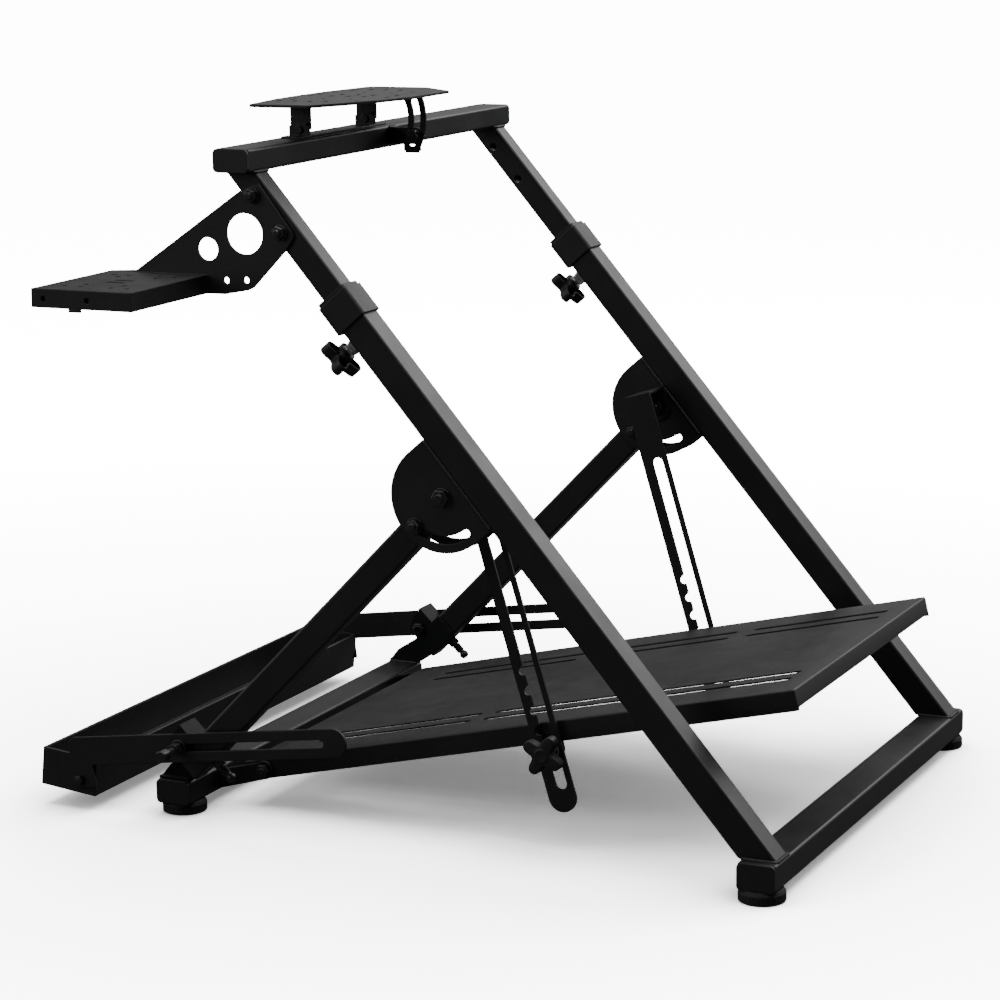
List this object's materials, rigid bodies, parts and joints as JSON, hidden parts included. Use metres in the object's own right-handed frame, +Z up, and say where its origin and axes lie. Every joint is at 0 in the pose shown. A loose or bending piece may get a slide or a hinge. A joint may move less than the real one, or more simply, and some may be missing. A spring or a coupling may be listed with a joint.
{
  "type": "sim racing wheel stand",
  "caption": "Folding black steel stand for a racing wheel, pedals and gear lever, with a height-adjustable top bar, tilting deck and caster trough.",
  "frame": {"origin": "on the floor, below the middle of the stand's outer box", "axes": "+Y points forward, away from the driver; +X to the driver's right, the shelf's side; +Z up"},
  "size_m": [0.7848, 0.855, 0.758],
  "materials": {
    "frame_steel": "satin",
    "plastic": "matte",
    "rubber": "matte",
    "fasteners": "satin"
  },
  "bodies": {
    "main_frame": {"front_foot_bar": "frame_steel", "front_bar_caps": "plastic", "front_feet": "rubber", "right_leg_tube": "frame_steel", "left_leg_tube": "frame_steel", "right_collar": "plastic", "left_collar": "plastic", "right_height_knob": "plastic", "left_height_knob": "plastic", "right_pivot_ears": "frame_steel", "left_pivot_ears": "frame_steel", "pivot_bolts": "fasteners"},
    "upper_frame": {"right_inner_tube": "frame_steel", "left_inner_tube": "frame_steel", "top_bar": "frame_steel", "top_bar_caps": "plastic", "shifter_bracket": "frame_steel", "shifter_bolts": "fasteners", "plate_hinge_base": "frame_steel", "tilt_bracket": "frame_steel", "tilt_bolt": "fasteners"},
    "wheel_deck": {"wheel_plate": "frame_steel", "plate_posts": "frame_steel", "tilt_arc": "frame_steel"},
    "rear_frame": {"right_rear_leg": "frame_steel", "left_rear_leg": "frame_steel", "rear_foot_bar": "frame_steel", "rear_bar_caps": "plastic", "rear_feet": "rubber", "right_foot_bracket": "frame_steel", "left_foot_bracket": "frame_steel", "lock_bolts": "fasteners", "foot_plungers": "fasteners", "right_hanger": "frame_steel", "left_hanger": "frame_steel", "deck_hinge_brackets": "frame_steel", "clamp_bolts": "fasteners"},
    "deck": {"pedal_deck": "frame_steel", "deck_hinge_bolts": "fasteners", "deck_knobs": "plastic"},
    "trough": {"caster_trough": "frame_steel", "right_trough_arm": "frame_steel", "left_trough_arm": "frame_steel", "trough_bolts": "fasteners"}
  },
  "joints": [
    {"name": "height_slide", "type": "slide", "parent": "main_frame", "child": "upper_frame", "axis": [0, -0.6481, 0.7615], "range_m": [-0.045, 0.1]},
    {"name": "wheel_plate_tilt", "type": "hinge", "parent": "upper_frame", "child": "wheel_deck", "pos_m": [-0.0531, -0.1603, 0.728], "axis": [1, 0, 0], "range_deg": [-25, 5]},
    {"name": "rear_fold", "type": "hinge", "parent": "main_frame", "child": "rear_frame", "pos_m": [-0.0531, 0.06461, 0.37744], "axis": [1, 0, 0], "range_deg": [0, 78]},
    {"name": "deck_tilt", "type": "hinge", "parent": "rear_frame", "child": "deck", "pos_m": [-0.0531, -0.19545, 0.043], "axis": [1, 0, 0], "range_deg": [-2, 10]},
    {"name": "trough_slide", "type": "slide", "parent": "rear_frame", "child": "trough", "axis": [0, -0.9907, -0.1357], "range_m": [0, 0.08]}
  ]
}
